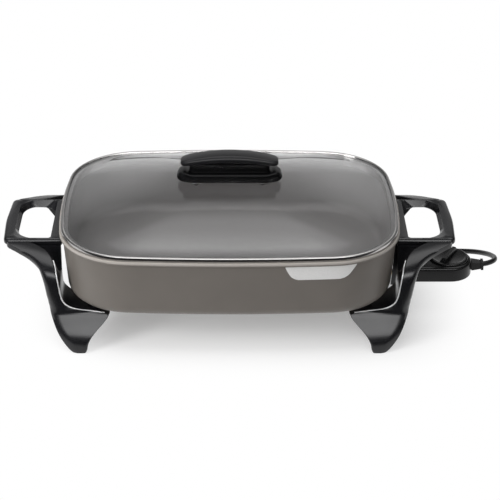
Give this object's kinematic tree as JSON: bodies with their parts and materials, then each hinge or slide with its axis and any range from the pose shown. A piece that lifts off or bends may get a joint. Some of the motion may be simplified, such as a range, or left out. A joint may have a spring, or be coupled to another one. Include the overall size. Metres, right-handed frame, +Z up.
{
  "type": "electric skillet",
  "caption": "Electric skillet: cast rectangular pan on moulded end frames with loop handles, lift-off domed glass cover and plug-in heat control with dial and cord.",
  "frame": {"origin": "on the table, under the middle of the skillet's own box without the cord", "axes": "+X to the end with the heat control, +Y to the back, +Z up"},
  "size_m": [0.6041, 0.4294, 0.2017],
  "materials": {
    "cast_body": "satin taupe-grey coating outside, lighter non-stick coating inside",
    "bright_steel": "polished stainless steel",
    "sheath": "oxidised steel sheath",
    "ceramic": "matt ceramic",
    "badge": "satin, bare",
    "black_moulding": "semi-gloss black phenolic",
    "phenolic": "matt brown-black phenolic",
    "brass": "bright",
    "clear_glass": "clear tempered glass",
    "black_rubber": "matt black"
  },
  "bodies": {
    "skillet": {"pan": "cast_body", "heating_element": "sheath", "terminal_insulators": "ceramic", "terminal_pins": "bright_steel", "badge_plate": "badge", "left_frame": "black_moulding", "right_frame": "black_moulding", "frame_screws": "bright_steel", "terminal_guard": "black_moulding", "guard_screws": "bright_steel"},
    "cover": {"cover_glass": "clear_glass", "cover_rim": "bright_steel", "cover_handle_gasket": "black_rubber", "cover_handle_base": "black_moulding", "cover_handle_grip": "black_moulding", "cover_screws": "bright_steel", "cover_washers": "bright_steel"},
    "control": {"control_bottom": "black_moulding", "control_top": "black_moulding", "control_screws": "bright_steel", "contact_block": "phenolic", "contact_sleeves": "brass", "probe": "bright_steel", "thermostat_stack": "ceramic", "thermostat_blades": "brass", "strain_relief": "black_rubber", "cord": "black_rubber", "cord_coil": "black_rubber", "cord_tail": "black_rubber", "cord_tie": "black_rubber", "plug_body": "black_rubber", "plug_blades": "brass"},
    "dial": {"dial_knob": "black_moulding", "dial_shaft": "bright_steel"}
  },
  "joints": [
    {"name": "cover_lift", "type": "slide", "parent": "skillet", "child": "cover", "axis": [0, 0, 1], "range_m": [0, 0.15]},
    {"name": "control_unplug", "type": "slide", "parent": "skillet", "child": "control", "axis": [1, 0, 0], "range_m": [0, 0.12]},
    {"name": "dial_turn", "type": "hinge", "parent": "control", "child": "dial", "pos_m": [0.25625, 0, 0.06], "axis": [0, 0, 1], "range_deg": [-280, 0]}
  ]
}
